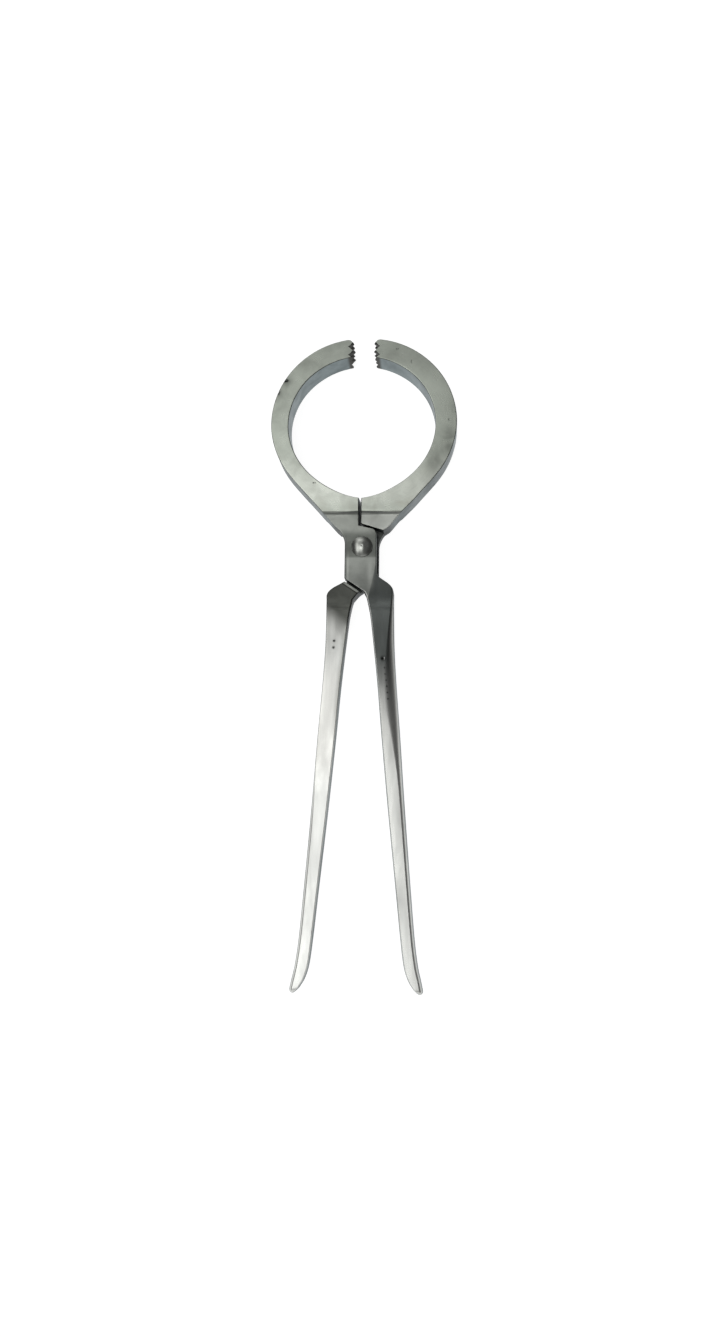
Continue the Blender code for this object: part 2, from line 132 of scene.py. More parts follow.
# How far each edge is ground back across the face, by distance along the tool: left or inner edge,
# right or outer edge, for the front half (1) and the rear half (-1).
LEFT_GRIND = {1: ((12, 0.6), (4, 1.2), (-20, 1.2), (-28, 0.9), (-50, 0.9), (-250, 1.0)),
              -1: ((12, 0.6), (4, 0.8), (-24, 0.8), (-34, 1.0), (-160, 1.1), (-250, 1.0))}
RIGHT_GRIND = {1: ((12, 0.6), (-16, 0.6), (-26, 1.0), (-38, 2.3), (-55, 4.3), (-75, 6.6), (-95, 6.9),
                   (-112, 5.0), (-128, 3.5), (-145, 2.7), (-200, 2.4), (-250, 2.2)),
               -1: ((12, 0.6), (-16, 0.6), (-34, 0.8), (-60, 1.0), (-125, 1.0), (-160, 2.2), (-250, 2.3))}
GRIND_DEPTH = ((12, 0.6), (-16, 0.7), (-30, 1.2), (-55, 4.0), (-250, 3.6))
CORNER_STEPS = 9
HALF_SIDE = 0.48                      # the most of a side that one rounded corner may take

# Broken edges: width and the least angle in degrees.
EDGE_BREAK = (0.22, 34)
TOOTH_BREAK = (0.16, 25)
HALF_SHARP_DEGREES = 40
RIVET_SHARP_DEGREES = 50
NORMAL_WEIGHT = 80

# Rivet.
SHANK_RADIUS = 4.0
HOLE_CLEARANCE = 0.1
HEAD_RADIUS = 6.15
HEAD_HEIGHT = 2.5
HEAD_RIM = 0.4
HEAD_CHAMFER = 0.12
HEAD_GAP = 0.15                       # between a head and the face under it
REAR_HEAD_RADIUS = 5.8
REAR_HEAD_HEIGHT = 0.8
DIMPLE_RADIUS = 0.5
DIMPLE_DEPTH = 0.2
DOME_STEPS = 24
RIVET_STEPS = 128
HOLE_STEPS = 64
CUTTER_MARGIN = 1.0                   # how far a cutter runs past the steel


# ---------------------------------------------------------------- plan curves

def smooth(keys, at):
    """Value at one place of a smooth curve through (place, value) keys."""
    keys = sorted(keys)
    if at <= keys[0][0]:
        return keys[0][1]
    if at >= keys[-1][0]:
        return keys[-1][1]
    slopes = []
    for i in range(len(keys)):
        low = keys[max(i - 1, 0)]
        high = keys[min(i + 1, len(keys) - 1)]
        slopes.append((high[1] - low[1]) / (high[0] - low[0]))
    i = next(k for k in range(len(keys) - 1) if at <= keys[k + 1][0])
    span = keys[i + 1][0] - keys[i][0]
    t = (at - keys[i][0]) / span
    return (keys[i][1] * (1 + 2 * t) * (1 - t) ** 2 + keys[i + 1][1] * t * t * (3 - 2 * t)
            + slopes[i] * span * t * (1 - t) ** 2 - slopes[i + 1] * span * t * t * (1 - t))


def line(start, end):
    """A straight edge, as a function of 0..1."""
    return lambda t: (start[0] + (end[0] - start[0]) * t, start[1] + (end[1] - start[1]) * t)


def bend(start, corner, end):
    """An edge rounded inside a corner."""
    def point(t):
        weights = ((1 - t) ** 2, 2 * t * (1 - t), t * t)
        return tuple(sum(w * p[axis] for w, p in zip(weights, (start, corner, end))) for axis in (0, 1))
    return point


def arc(centre, radius, start_degrees, end_degrees):
    """A round edge."""
    def point(t):
        angle = math.radians(start_degrees + (end_degrees - start_degrees) * t)
        return (centre[0] + radius * math.cos(angle), centre[1] + radius * math.sin(angle))
    return point


def ring_edge(keys, centre_x, start_degrees, end_degrees):
    """A stretch of the ring's outer or inner edge."""
    def point(t):
        degrees = start_degrees + (end_degrees - start_degrees) * t
        radius = smooth(keys, degrees)
        angle = math.radians(degrees)
        return (centre_x - radius * math.cos(angle), RING_CENTRE_Y + radius * math.sin(angle))
    return point


def handle_edge(keys, shift, start_y, end_y):
    """A stretch of one side of the handle."""
    def point(t):
        y = start_y + (end_y - start_y) * t
        return (smooth(keys, y) + shift, y)
    return point


def on_line(edge, x):
    """The point at x on the line a x + b y = c."""
    return (x, (edge[2] - edge[0] * x) / edge[1])


def ring_spans(hand):
    """Edge pairs of the jaw, from its tip to the step above the joint."""
    outer_x = OUTER_SHIFT * hand
    bore_x = BORE_SHIFT * hand
    seam_x = SEAM_SHIFT * hand - SEAM_GAP / 2.0
    corner = (TIP_X - TIP_CORNER_RADIUS, TIP_CORNER_Y)
    outer = RING_OUTER + HEEL_OUTER[hand]
    tip_angle = math.degrees(math.acos((bore_x - TIP_X) / RING_INNER[0][1]))
    seam_angle = -math.degrees(math.acos((bore_x - seam_x) / RING_INNER[-1][1]))
    seam_top = ring_edge(RING_INNER, bore_x, 0, seam_angle)(1)
    return (
        (arc(corner, TIP_CORNER_RADIUS, 0, 100), ring_edge(RING_INNER, bore_x, tip_angle, 78), 10),
        (ring_edge(outer, outer_x, 76, -60), ring_edge(RING_INNER, bore_x, 73, -60), 92),
        (ring_edge(outer, outer_x, *BASE_ANGLES), ring_edge(RING_INNER, bore_x, -64, seam_angle), 12),
        (ring_edge(outer, outer_x, *HEEL_ANGLES),
         line((seam_x, (seam_top[1] + STEP_Y) / 2), (seam_x, STEP_Y + STEP_RUN / 2)), 3),
    )


def joint_spans(hand):
    """Edge pairs of the boss and shoulder, from the step to the top of the handle."""
    outer_x = OUTER_SHIFT * hand
    seam_x = SEAM_SHIFT * hand - SEAM_GAP / 2.0
    waist_x = WAIST_X + WAIST_SHIFT * hand
    handle_x = HANDLE_SHIFT * hand
    seam_foot = (seam_x, BOSS_TOP_AT_AXIS + BOSS_TOP_SLOPE * seam_x)
    waist_centre = (waist_x - WAIST_ROUND, WAIST_ROUND_Y)
    boss_centre = (BOSS_RIGHT_X - BOSS_CORNER_ROUND, BOSS_CORNER_Y)
    fillet_centre = (BOSS_RIGHT_X + SHOULDER_ROUND, SHOULDER_Y + SHOULDER_SHIFT * hand)
    fillet_last = 180 + SHOULDER_TURN
    fillet_end = arc(fillet_centre, SHOULDER_ROUND, 180, fillet_last)(1)
    cheek_x = HANDLE_OUTER[0][1] + handle_x
    slope = SHOULDER_SLOPE + SHOULDER_SLOPE_SHIFT * hand
    cheek = (cheek_x, fillet_end[1] + slope * (cheek_x - fillet_end[0]))
    cheek_foot = (cheek_x, cheek[1] - CHEEK_ROUND)
    shoulder = line(fillet_end, cheek)
    handle_top = HANDLE_INNER[0][0]
    handle_start = (HANDLE_INNER[0][1] + handle_x, handle_top)
    return (
        (ring_edge(RING_OUTER + HEEL_OUTER[hand], outer_x, *HEEL_END_ANGLES),
         line((seam_x, STEP_Y - STEP_RUN / 2), seam_foot), 6),
        (arc(waist_centre, WAIST_ROUND, 40, 24),
         line((seam_x + 1.5, seam_foot[1] - 0.35), arc(boss_centre, BOSS_CORNER_ROUND, 77, 0)(0)), 6),
        (arc(waist_centre, WAIST_ROUND, 20, 0), arc(boss_centre, BOSS_CORNER_ROUND, 65, 0), 9),
        (line((waist_x, -2.0), (waist_x, fillet_centre[1] + 1.0)),
         line((BOSS_RIGHT_X, 3.0), (BOSS_RIGHT_X, fillet_centre[1])), 8),
        (line((waist_x, fillet_centre[1] - 0.7), (waist_x, WAIST_FOOT_Y)),
         arc(fillet_centre, SHOULDER_ROUND, 190, 222), 5),
        (bend((waist_x, WAIST_FOOT_Y - 0.3), on_line(BOSS_EDGE, waist_x),
              on_line(BOSS_EDGE, waist_x + 1.2)),
         line(arc(fillet_centre, SHOULDER_ROUND, fillet_last - 7, fillet_last)(0), shoulder(0.25)), 5),
        (line(on_line(BOSS_EDGE, waist_x + 2.2), on_line(BOSS_EDGE, 0.5)),
         bend(shoulder(0.4), cheek, cheek_foot), 10),
        (bend(on_line(BOSS_EDGE, 1.1), on_line(BOSS_EDGE, 2.3), handle_start),
         line((cheek_x, cheek_foot[1] - 0.5), (cheek_x, handle_top)), 6),
    )


def handle_spans(hand):
    """Edge pairs of the handle, down to its rounded end."""
    shift = HANDLE_SHIFT * hand
    top = HANDLE_INNER[0][0]
    foot = HANDLE_INNER[-1][0]
    inner_foot = (HANDLE_INNER[-1][1] + shift, foot)
    outer_foot = (HANDLE_OUTER[-1][1] + shift, foot)
    end_x = HANDLE_END_X + shift
    inner_corner = (end_x + END_INNER_CORNER[0], HANDLE_END_Y + END_INNER_CORNER[1])
    outer_corner = (end_x + END_OUTER_CORNER[0], HANDLE_END_Y + END_OUTER_CORNER[1])
    straight = (top - 2, HANDLE_BEND_Y[0])
    bent = (HANDLE_BEND_Y[1], foot + 1)
    return (
        (handle_edge(HANDLE_INNER, shift, *straight), handle_edge(HANDLE_OUTER, shift, *straight), 70),
        (handle_edge(HANDLE_INNER, shift, *bent), handle_edge(HANDLE_OUTER, shift, *bent), 9),
        (bend(inner_foot, inner_corner, (end_x - END_HALF_FLAT, HANDLE_END_Y)),
         bend(outer_foot, outer_corner, (end_x + END_HALF_FLAT, HANDLE_END_Y)), 9),
    )


# ---------------------------------------------------------------- solid pieces

def section(left, right, tops, bottoms, rounds, depth, lean=(0.0, 0.0)):
    """One cross-section on the plan line from left to right, its four corners ground to ellipses.

    The lean moves the right side's lower and upper corners along X.
    """
    width = math.dist(left, right)
    across = ((right[0] - left[0]) / width, (right[1] - left[1]) / width)
    depth = min(depth, (min(tops) - max(bottoms)) * HALF_SIDE)
    r_left = min(rounds[0], width * HALF_SIDE)
    r_right = min(rounds[1], width - r_left - 0.3)
    corners = (
        (r_left, r_left, bottoms[0] + depth, 270, 180, 0.0),
        (r_left, r_left, tops[0] - depth, 180, 90, 0.0),
        (width - r_right, r_right, tops[1] - depth, 90, 0, lean[1]),
        (width - r_right, r_right, bottoms[1] + depth, 0, -90, lean[0]),
    )
    points = []
    for centre, radius, height, start, end, move in corners:
        for step in range(CORNER_STEPS + 1):
            angle = math.radians(start + (end - start) * step / CORNER_STEPS)
            along = centre + radius * math.cos(angle)
            points.append((left[0] + across[0] * along + move, left[1] + across[1] * along,
                           height + depth * math.sin(angle)))
    return points


def span_points(spans):
    """Pairs of plan points, left and right, along all the spans."""
    for left, right, steps in spans:
        for step in range(steps):
            t = step / (steps - 1)
            yield left(t), right(t)


def seam_lean(hand, right):
    """Moves of the seam wall's lower and upper corners, so that the narrow gap runs aslant."""
    t = min(max((SEAM_LEAN_Y[0] - right[1]) / (SEAM_LEAN_Y[0] - SEAM_LEAN_Y[1]), 0.0), 1.0)
    if right[1] > RING_CENTRE_Y:
        t = 0.0
    move = SEAM_LEAN * t * t * (3 - 2 * t)
    return (move, 0.0) if hand > 0 else (0.0, -move)


def half_sections(hand):
    """All cross-sections of one half, from its jaw tip to its handle end."""
    sections = []
    for left, right in span_points(ring_spans(hand)):
        sections.append(section(left, right, (THICKNESS,) * 2, (0.0, 0.0), (RING_EDGE_ROUND,) * 2,
                                RING_EDGE_ROUND, seam_lean(hand, right)))
    seam_foot_y = joint_spans(hand)[0][1](1)[1]
    for left, right in span_points(joint_spans(hand)):
        middle = (left[1] + right[1]) / 2
        lean = seam_lean(hand, right) if right[1] > seam_foot_y - 0.01 else (0.0, 0.0)
        low = JOINT_STEP + smooth(FACE_DROP, middle)
        sections.append(section(
            left, right,
            (JOINT_TOP - smooth(BOSS_FACE_DROP, left[1]), JOINT_TOP - smooth(FACE_DROP, right[1])),
            (low, low),
            (smooth(LEFT_GRIND[hand], left[1]), smooth(RIGHT_GRIND[hand], right[1])),
            smooth(GRIND_DEPTH, right[1]), lean))
    foot_y = HANDLE_INNER[-1][0]
    for left, right in span_points(handle_spans(hand)):
        y = (left[1] + right[1]) / 2
        half_depth = MIDDLE_Z - JOINT_STEP - smooth(FACE_DROP, y)
        if y < foot_y:
            past = (foot_y - y) / (foot_y - HANDLE_END_Y)
            half_depth *= END_THINNEST + (1 - END_THINNEST) * math.sqrt(max(0.0, 1 - past * past))
        sections.append(section(
            left, right, (MIDDLE_Z + half_depth,) * 2, (MIDDLE_Z - half_depth,) * 2,
            (smooth(LEFT_GRIND[hand], y), smooth(RIGHT_GRIND[hand], y)), smooth(GRIND_DEPTH, y)))
    return sections


def new_object(name, builder):
    """An object whose mesh was drawn in millimetres round the rivet, put in the row frame in metres."""
    bmesh.ops.recalc_face_normals(builder, faces=builder.faces)
    builder.transform(Matrix.Translation((RIVET.x, RIVET.y, 0.0)) @ Matrix.Scale(MM, 4))
    mesh = bpy.data.meshes.new(name)
    builder.to_mesh(mesh)
    builder.free()
    item = bpy.data.objects.new(name, mesh)
    bpy.context.scene.collection.objects.link(item)
    return item


def sweep(sections):
    """A closed skin through a row of cross-sections."""
    builder = bmesh.new()
    rings = [[builder.verts.new(point) for point in points] for points in sections]
    count = len(rings[0])
    for first, second in zip(rings, rings[1:]):
        for i in range(count):
            j = (i + 1) % count
            builder.faces.new((first[i], first[j], second[j], second[i]))
    builder.faces.new(rings[0])
    builder.faces.new(rings[-1])
    return builder


def prism(outline, low, high):
    """An upright block with the outline as its plan."""
    builder = bmesh.new()
    lower = [builder.verts.new((x, y, low)) for x, y in outline]
    upper = [builder.verts.new((x, y, high)) for x, y in outline]
    builder.faces.new(lower)
    builder.faces.new(upper)
    for i in range(len(outline)):
        j = (i + 1) % len(outline)
        builder.faces.new((lower[i], lower[j], upper[j], upper[i]))
    return builder


def turned(profile, steps):
    """A solid of revolution from (radius, z) points that start and end on the axis."""
    builder = bmesh.new()
    poles = (builder.verts.new((0, 0, profile[0][1])), builder.verts.new((0, 0, profile[-1][1])))
    rings = []
    for radius, z in profile[1:-1]:
        ring = []
        for step in range(steps):
            angle = math.tau * step / steps
            ring.append(builder.verts.new((radius * math.cos(angle), radius * math.sin(angle), z)))
        rings.append(ring)
    for step in range(steps):
        following = (step + 1) % steps
        for first, second in zip(rings, rings[1:]):
            builder.faces.new((first[step], first[following], second[following], second[step]))
        builder.faces.new((poles[0], rings[0][step], rings[0][following]))
        builder.faces.new((poles[1], rings[-1][step], rings[-1][following]))
    return builder


def tooth_mould():
    """A block whose face is the mould of the jaw's pyramid teeth."""
    builder = bmesh.new()
    rows = []
    places_y = []
    for upper, lower in zip(TOOTH_VALLEYS_Y, TOOTH_VALLEYS_Y[1:]):
        places_y += [upper, (upper + lower) / 2]
    places_y.append(TOOTH_VALLEYS_Y[-1])
    peaks = set()
    for k, y in enumerate(places_y):
        row = []
        for m in range(TOOTH_STEPS + 1):
            z = THICKNESS * m / TOOTH_STEPS
            if m == 0:
                z -= CUTTER_MARGIN
            elif m == TOOTH_STEPS:
                z += CUTTER_MARGIN
            on_peak = k % 2 == 1 and m % 2 == 1
            depth = TOOTH_VALLEY_DEPTH if k % 2 == 0 else TOOTH_SADDLE_DEPTH
            row.append(builder.verts.new((TIP_X - (TOOTH_PEAK_DEPTH if on_peak else depth), y, z)))
            if on_peak:
                peaks.add(row[-1])
        rows.append(row)
    for upper, lower in zip(rows, rows[1:]):
        for m in range(TOOTH_STEPS):
            quad = (upper[m], upper[m + 1], lower[m + 1], lower[m])
            peak = next(i for i, v in enumerate(quad) if v in peaks)
            builder.faces.new((quad[peak], quad[(peak + 1) % 4], quad[(peak + 2) % 4]))
            builder.faces.new((quad[peak], quad[(peak + 2) % 4], quad[(peak + 3) % 4]))
    rim = (rows[0] + [row[-1] for row in rows[1:]] + rows[-1][-2::-1]
           + [row[0] for row in rows[-2:0:-1]])
    back = [builder.verts.new((TIP_X + TOOTH_CUTTER_REACH, v.co.y, v.co.z)) for v in rim]
    for i in range(len(rim)):
        j = (i + 1) % len(rim)
        builder.faces.new((rim[i], rim[j], back[j], back[i]))
    builder.faces.new(back)
    return builder


def pits(places):
    """Small squashed balls that cut nicks and punch marks: (x, y, z, radii) each."""
    builder = bmesh.new()
    for x, y, z, radii in places:
        ball = bmesh.ops.create_icosphere(builder, subdivisions=3, radius=1.0)
        matrix = Matrix.Translation((x, y, z)) @ Matrix.Diagonal((*radii, 1.0))
        bmesh.ops.transform(builder, matrix=matrix, verts=ball["verts"])
    return builder


def cut(item, cutter):
    """Cut one object out of another and drop the cutter."""
    modifier = item.modifiers.new("cut", "BOOLEAN")
    modifier.operation = "DIFFERENCE"
    modifier.solver = "EXACT"
    modifier.object = cutter
    settle(item)
    bpy.data.objects.remove(cutter, do_unlink=True)


def settle(item):
    """Apply an object's modifiers."""
    graph = bpy.context.evaluated_depsgraph_get()
    mesh = bpy.data.meshes.new_from_object(item.evaluated_get(graph), depsgraph=graph)
    item.modifiers.clear()
    item.data = mesh


def turn_over(item):
    """Turn a half over about the Y axis through the rivet, at half the thickness."""
    middle = Matrix.Translation((RIVET.x, 0.0, MIDDLE_Z * MM))
    item.data.transform(middle @ Matrix.Rotation(math.pi, 4, "Y") @ middle.inverted())


def break_edges(item, width, angle):
    """Round every edge sharper than the angle a little."""
    bevel = item.modifiers.new("edges", "BEVEL")
    bevel.width = width * MM
    bevel.segments = 2
    bevel.limit_method = "ANGLE"
    bevel.angle_limit = math.radians(angle)
    bevel.use_clamp_overlap = False
    bevel.miter_outer = "MITER_ARC"
    settle(item)


def smooth_shading(item):
    """Smooth the shading without rounding the flats."""
    item.data.shade_smooth()
    item.data.set_sharp_from_angle(angle=math.radians(HALF_SHARP_DEGREES))
    normals = item.modifiers.new("normals", "WEIGHTED_NORMAL")
    normals.keep_sharp = True
    normals.weight = NORMAL_WEIGHT
    settle(item)


def make_half(name, hand, marks):
    """One forging: swept, cut for the lap, rivet, teeth and marks."""
    half = new_object(name, sweep(half_sections(hand)))
    lap = (on_line(JAW_WALL, -30), on_line(JAW_WALL, 10), (30, 17), on_line(SHOULDER_WALL, 30),
           on_line(SHOULDER_WALL, -8), (-30, -33))
    hole_radius = SHANK_RADIUS + HOLE_CLEARANCE
    below = -CUTTER_MARGIN
    above = THICKNESS + CUTTER_MARGIN
    hole = ((0, below), (hole_radius, below), (hole_radius, above), (0, above))
    cut(half, new_object("lap", prism(lap, below, MIDDLE_Z + LAP_GAP / 2.0)))
    cut(half, new_object("hole", turned(hole, HOLE_STEPS)))
    break_edges(half, *EDGE_BREAK)
    mould = new_object("teeth", tooth_mould())
    break_edges(mould, *TOOTH_BREAK)
    cut(half, mould)
    if hand < 0:
        turn_over(half)
    cut(half, new_object("marks", pits(marks)))
    smooth_shading(half)
    return half


# Pits cut into each half, as seen from the front: (x, y, z, radii).  The jaws have nicks in their
# edges, and the handles plain punch marks.
FRONT_NICKS = (
    (-46.6, 102.4, 16.3, (1.6, 1.0, 1.1)),
    (-50.9, 95.2, 16.4, (0.8, 1.7, 1.3)),
    (-53.0, 90.6, 16.3, (0.6, 1.2, 0.7)),
)
FRONT_SCRATCHES = (
    (-28.4, 38.6, 16.2, (1.2, 0.5, 0.5)),
    (-12.6, 130.2, 16.0, (0.8, 0.5, 0.5)),
)
FRONT_PUNCH = (12.6, -65.6, 13.05, (1.5, 1.5, 0.6))
FRONT_DOTS = tuple((13.7 + 0.40 * i, -71.0 - 3.6 * i, 12.98, (0.5, 0.5, 0.45)) for i in range(6))
REAR_SCRATCHES = (
    (28.3, 113.2, 16.15, (0.35, 1.3, 0.4)),
    (50.6, 76.5, 16.1, (0.5, 0.7, 0.35)),
    (20.0, 121.3, 16.1, (0.9, 0.45, 0.35)),
)
REAR_DOTS = ((-15.6, -55.3, 13.0, (0.8, 0.8, 0.6)), (-15.9, -59.2, 13.0, (0.8, 0.8, 0.6)))

front = make_half("front_half_steel", 1, (*FRONT_NICKS, *FRONT_SCRATCHES, FRONT_PUNCH, *FRONT_DOTS))
rear = make_half("rear_half_steel", -1, REAR_SCRATCHES + REAR_DOTS)


def rivet_profile():
    """The rivet from its flattened rear head to the dimple in its domed head."""
    rear_face = JOINT_STEP - HEAD_GAP
    rear_end = rear_face - REAR_HEAD_HEIGHT
    front_face = JOINT_TOP + HEAD_GAP
    rise = HEAD_HEIGHT - HEAD_RIM
    ball = (HEAD_RADIUS ** 2 + rise ** 2) / (2 * rise)
    profile = [(0, rear_end), (REAR_HEAD_RADIUS - 0.5, rear_end),
               (REAR_HEAD_RADIUS - 0.15, rear_end + HEAD_CHAMFER),
               (REAR_HEAD_RADIUS, rear_end + 0.4), (REAR_HEAD_RADIUS, rear_face),
               (SHANK_RADIUS, rear_face), (SHANK_RADIUS, front_face),
               (HEAD_RADIUS - HEAD_CHAMFER, front_face), (HEAD_RADIUS, front_face + HEAD_CHAMFER)]
    for step in range(DOME_STEPS + 1):
        radius = HEAD_RADIUS + (DIMPLE_RADIUS - HEAD_RADIUS) * step / DOME_STEPS
        profile.append((radius, front_face + HEAD_RIM + rise - ball + math.sqrt(ball ** 2 - radius ** 2)))
    profile += [(0.35, front_face + HEAD_HEIGHT - 0.07), (0.2, front_face + HEAD_HEIGHT - 0.16),
                (0, front_face + HEAD_HEIGHT - DIMPLE_DEPTH)]
    return profile


rivet = new_object("rivet_steel", turned(rivet_profile(), RIVET_STEPS))
rivet.data.shade_smooth()
rivet.data.set_sharp_from_angle(angle=math.radians(RIVET_SHARP_DEGREES))


# ---------------------------------------------------------------- materials

# Base colours of the steel: its own tones, by how each face was ground, handled or stained, and painted light
# and shade: painted dark reflections on rims, walls, shoulders and round the rivet, painted highlights on
# handles, lip and boss, painted shade on teeth, lap, step and border.
RING_STEEL = (0.57, 0.613, 0.539, 1.0)
RING_BASE_STEEL = (0.80, 0.84, 0.755, 1.0)
JAW_TOP_STEEL = (0.42, 0.45, 0.40, 1.0)
YELLOWED_STEEL = (0.56, 0.53, 0.40, 1.0)
RING_RIM_DARK_REFLECTION_STEEL = (0.09, 0.095, 0.09, 1.0)
TOOTH_SHADE_STEEL = (0.085, 0.085, 0.08, 1.0)
WALL_REFLECTION_STEEL = (0.165, 0.20, 0.208)
BOSS_STEEL = (0.31, 0.325, 0.30, 1.0)
BOSS_TOP_STEEL = (0.40, 0.42, 0.385, 1.0)
BOSS_FOOT_STEEL = (0.20, 0.21, 0.195, 1.0)
BOSS_RIM_DARK_REFLECTION_STEEL = (0.13, 0.135, 0.13, 1.0)
BOSS_BAND_DARK_REFLECTION_STEEL = (0.14, 0.15, 0.135, 1.0)
STREAK_HIGHLIGHT_STEEL = (0.58, 0.60, 0.56, 1.0)
LEFT_FACING_HIGHLIGHT_STEEL = (0.90, 0.91, 0.88, 1.0)
FRONT_SHOULDER_DARK_REFLECTION_STEEL = (0.092, 0.10, 0.096, 1.0)
REAR_JOINT_STEEL = (0.53, 0.55, 0.51, 1.0)
REAR_SHOULDER_DARK_REFLECTION_STEEL = (0.075, 0.078, 0.07, 1.0)
LAP_SHADE_STEEL = (0.09, 0.095, 0.09, 1.0)
LIP_HIGHLIGHT_STEEL = (0.22, 0.23, 0.21, 1.0)
LIP_SHADOW_LINE_STEEL = (0.035, 0.035, 0.032, 1.0)
HANDLE_STEEL = (0.55, 0.555, 0.53, 1.0)
FRONT_HANDLE_HIGHLIGHT_STEEL = (0.70, 0.71, 0.68, 1.0)
REAR_HANDLE_HIGHLIGHT_STEEL = (0.76, 0.77, 0.74, 1.0)
HANDLE_MIDDLE_HIGHLIGHT_STEEL = (0.93, 0.93, 0.885, 1.0)
INNER_BORDER_SHADE_STEEL = (0.42, 0.43, 0.40, 1.0)
RIVET_STEEL = (0.50, 0.515, 0.48)

# Stains on each half's ring: (x, y, radius across, radius along, darkness).
STAINS = {
    1: ((-32.0, 113.0, 8.0, 3.5, 0.16), (-46.0, 101.5, 3.5, 3.0, 0.35), (-50.5, 94.5, 2.5, 3.5, 0.3),
        (-9.0, 124.0, 6.0, 7.0, 0.12)),
    -1: ((50.0, 62.0, 4.5, 10.0, 0.32), (42.5, 50.5, 5.0, 7.0, 0.30), (53.0, 80.0, 4.0, 12.0, 0.22),
         (14.0, 117.0, 9.0, 5.0, 0.14)),
}
# A painted reflection that lightens the rear half's ring: (x, y, radius across, radius along, strength).
REAR_REFLECTION_PATCH = (43.0, 92.0, 9.0, 14.0, 0.16)
PIT_DARKNESS = 0.9
PIT_DARKNESS_SPREAD = 0.95
CREVICE_SHADE_REACH = 2.2


class Nodes:
    """A short way to write shader maths."""

    def __init__(self, tree):
        self.tree = tree

    def add(self, kind, **values):
        node = self.tree.nodes.new(kind)
        for key, value in values.items():
            setattr(node, key, value)
        return node

    def put(self, socket, value):
        if isinstance(value, bpy.types.NodeSocket):
            self.tree.links.new(value, socket)
        else:
            socket.default_value = value

    def math(self, operation, *values):
        node = self.add("ShaderNodeMath", operation=operation)
        for i, value in enumerate(values):
            self.put(node.inputs[i], value)
        return node.outputs[0]

    def step(self, value, low, high, out_low=0.0, out_high=1.0):
        """A smooth step from out_low at low to out_high at high."""
        node = self.add("ShaderNodeMapRange", interpolation_type="SMOOTHSTEP")
        for name, item in (("Value", value), ("From Min", low), ("From Max", high),
                           ("To Min", out_low), ("To Max", out_high)):
            self.put(node.inputs[name], item)
        return node.outputs[0]

    def vector(self, x, y, z):
        node = self.add("ShaderNodeCombineXYZ")
        for i, value in enumerate((x, y, z)):
            self.put(node.inputs[i], value)
        return node.outputs[0]

    def noise(self, vector, scale, detail=3.0, rough=0.5, distortion=0.0):
        node = self.add("ShaderNodeTexNoise")
        self.put(node.inputs["Vector"], vector)
        for name, item in (("Scale", scale), ("Detail", detail), ("Roughness", rough),
                           ("Distortion", distortion)):
            node.inputs[name].default_value = item
        return node.outputs["Fac"]

    def mix(self, factor, first, second):
        node = self.add("ShaderNodeMix", data_type="RGBA", clamp_factor=True)
        self.put(node.inputs[0], factor)
        self.put(node.inputs[6], first)
        self.put(node.inputs[7], second)
        return node.outputs[2]

    def scale_colour(self, colour, factor):
        node = self.add("ShaderNodeVectorMath", operation="SCALE")
        self.put(node.inputs[0], colour)
        self.put(node.inputs["Scale"], factor)
        return node.outputs[0]

    def blob(self, x, y, centre_x, centre_y, radius_x, radius_y, power):
        """A soft round patch of the given strength."""
        dx = self.math("DIVIDE", self.math("SUBTRACT", x, centre_x), radius_x)
        dy = self.math("DIVIDE", self.math("SUBTRACT", y, centre_y), radius_y)
        square = self.math("ADD", self.math("MULTIPLY", dx, dx), self.math("MULTIPLY", dy, dy))
        return self.math("MULTIPLY", self.math("EXPONENT", self.math("MULTIPLY", square, -1.0)), power)


def steel_nodes(name):
    """A metal material with millimetre coordinates round the rivet."""
    material = bpy.data.materials.new(name)
    material.use_nodes = True
    n = Nodes(material.node_tree)
    shader = material.node_tree.nodes["Principled BSDF"]
    shader.inputs["Metallic"].default_value = 1.0
    coordinates = n.add("ShaderNodeTexCoord")
    shifted = n.add("ShaderNodeVectorMath", operation="SUBTRACT")
    n.put(shifted.inputs[0], coordinates.outputs["Object"])
    shifted.inputs[1].default_value = (RIVET.x, RIVET.y, 0.0)
    place = n.add("ShaderNodeVectorMath", operation="SCALE")
    n.put(place.inputs[0], shifted.outputs[0])
    place.inputs["Scale"].default_value = 1000.0
    split = n.add("ShaderNodeSeparateXYZ")
    n.put(split.inputs[0], place.outputs[0])
    normal = n.add("ShaderNodeSeparateXYZ")
    n.put(normal.inputs[0], coordinates.outputs["Normal"])
    return material, n, shader, place.outputs[0], split.outputs, normal.outputs


def brushing(n, radius, angle, place):
    """Fine grinding lines round the ring, along the handles and across the boss."""
    x, y, z = place
    ring = n.noise(n.vector(n.math("MULTIPLY", radius, 2.2), n.math("MULTIPLY", angle, 7.0),
                            n.math("MULTIPLY", z, 2.2)), 1.0, 3.0, 0.6)
    handle = n.noise(n.vector(n.math("MULTIPLY", x, 2.4), n.math("MULTIPLY", y, 0.12),
                              n.math("MULTIPLY", z, 2.4)), 1.0, 3.0, 0.6)
    boss = n.noise(n.vector(n.math("MULTIPLY", x, 0.25), n.math("MULTIPLY", y, 2.6),
                            n.math("MULTIPLY", z, 2.6)), 1.0, 3.0, 0.6)
    on_ring = n.step(y, 19.0, 21.0)
    on_handle = n.step(y, -30.0, -40.0)
    on_boss = n.math("SUBTRACT", 1.0, n.math("ADD", on_ring, on_handle))
    brush = n.math("ADD", n.math("MULTIPLY", ring, on_ring),
                   n.math("ADD", n.math("MULTIPLY", handle, on_handle), n.math("MULTIPLY", boss, on_boss)))
    return brush, on_ring, on_handle


